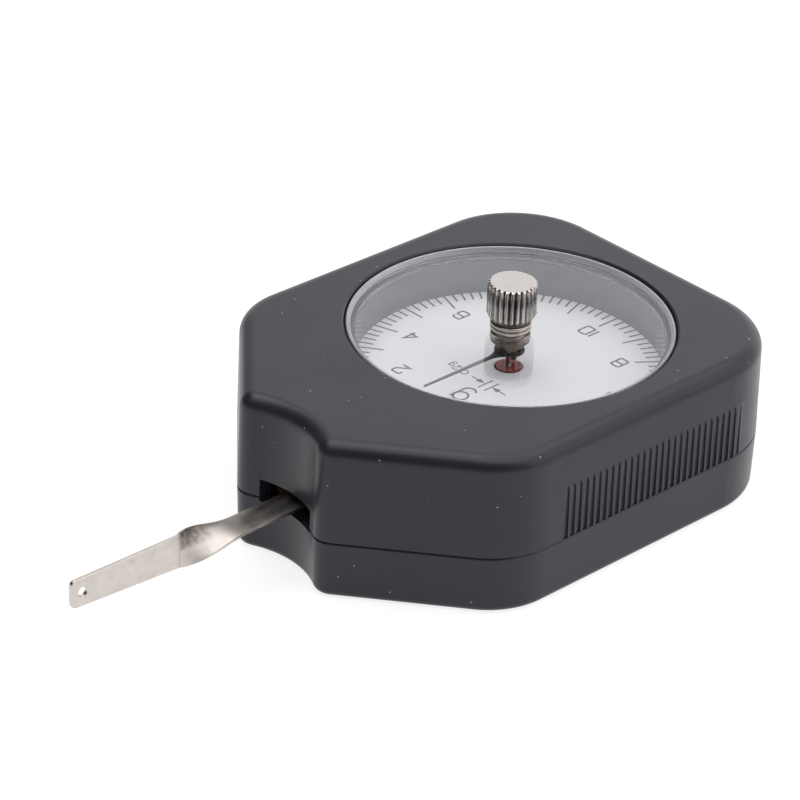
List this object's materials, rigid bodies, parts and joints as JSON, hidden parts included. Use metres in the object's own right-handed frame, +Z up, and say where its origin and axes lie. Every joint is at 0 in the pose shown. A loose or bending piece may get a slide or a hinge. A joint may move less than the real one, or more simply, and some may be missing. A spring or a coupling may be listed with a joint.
{
  "type": "dial tension gauge",
  "caption": "Hand-held dial tension gauge: flat housing with a hollow nose, twisted sensing lever with an eye, glazed round dial, pointer and fluted setting knob.",
  "frame": {"origin": "on the flat underside, straight below the dial axis", "axes": "+Z up through the dial, +Y towards the square back, so the lever points along -Y; the ribbed grips face +X and -X"},
  "size_m": [0.06, 0.1113, 0.0312],
  "materials": {
    "housing_plastic": "satin moulded black",
    "blued_steel": "blackened",
    "movement_brass": "lapped",
    "gear_brass": "machined",
    "screw_steel": "turned and polished",
    "bushing_bronze": "turned bronze",
    "spring_steel": "tempered",
    "dial_white": "satin silver white",
    "ring_aluminium": "satin anodised",
    "crystal_clear": "clear polished acrylic",
    "gasket_rubber": "matt black",
    "nickel_plate": "nickel plated",
    "knob_nickel": "nickel plated, satin top",
    "lever_nickel": "nickel plated strip",
    "driver_red": "deep red lacquer",
    "pointer_black": "satin black"
  },
  "bodies": {
    "housing": {"lower_shell": "housing_plastic", "upper_shell": "housing_plastic", "housing_screws": "blued_steel", "base_plate": "movement_brass", "base_plate_screws": "screw_steel", "pillars": "movement_brass", "top_plate": "movement_brass", "top_plate_screws": "screw_steel", "pivot_bushings": "bushing_bronze", "measuring_spring": "spring_steel", "spring_stud": "movement_brass", "stop_pins": "screw_steel", "hairspring": "spring_steel", "hairspring_stud": "movement_brass", "dial_plate": "dial_white", "dial_feet": "movement_brass", "well_ring": "ring_aluminium", "crystal": "crystal_clear", "crystal_gasket": "gasket_rubber", "crystal_bush": "nickel_plate", "bush_nut": "nickel_plate"},
    "lever": {"lever_blade": "lever_nickel", "lever_hub": "movement_brass", "lever_arbor": "screw_steel", "lever_screws": "screw_steel", "sector_gear": "gear_brass", "spring_collet": "gear_brass"},
    "dial_arbor": {"dial_arbor": "screw_steel", "pinion": "screw_steel", "hairspring_collet": "gear_brass", "driver_disc": "driver_red", "driver_pin": "driver_red"},
    "pointer": {"knob": "knob_nickel", "knob_spindle": "screw_steel", "friction_washer": "spring_steel", "pointer_hub": "nickel_plate", "pointer_needle": "pointer_black", "pointer_dog": "nickel_plate"}
  },
  "joints": [
    {"name": "lever_swing", "type": "hinge", "parent": "housing", "child": "lever", "pos_m": [0, -0.0285, 0.0104], "axis": [0, 0, 1], "range_deg": [-10, 10], "stiffness_Nm_per_rad": 0.028},
    {"name": "dial_arbor_spin", "type": "hinge", "parent": "housing", "child": "dial_arbor", "pos_m": [0, 0, 0.0076], "axis": [0, 0, 1], "range_deg": [-180, 180]},
    {"name": "pointer_spin", "type": "hinge", "parent": "dial_arbor", "child": "pointer", "pos_m": [0, 0, 0.0197], "axis": [0, 0, 1], "range_deg": [-286, 0]}
  ],
  "couplings": [
    {"joint": "dial_arbor_spin", "follows": "lever_swing", "ratio": -18}
  ]
}
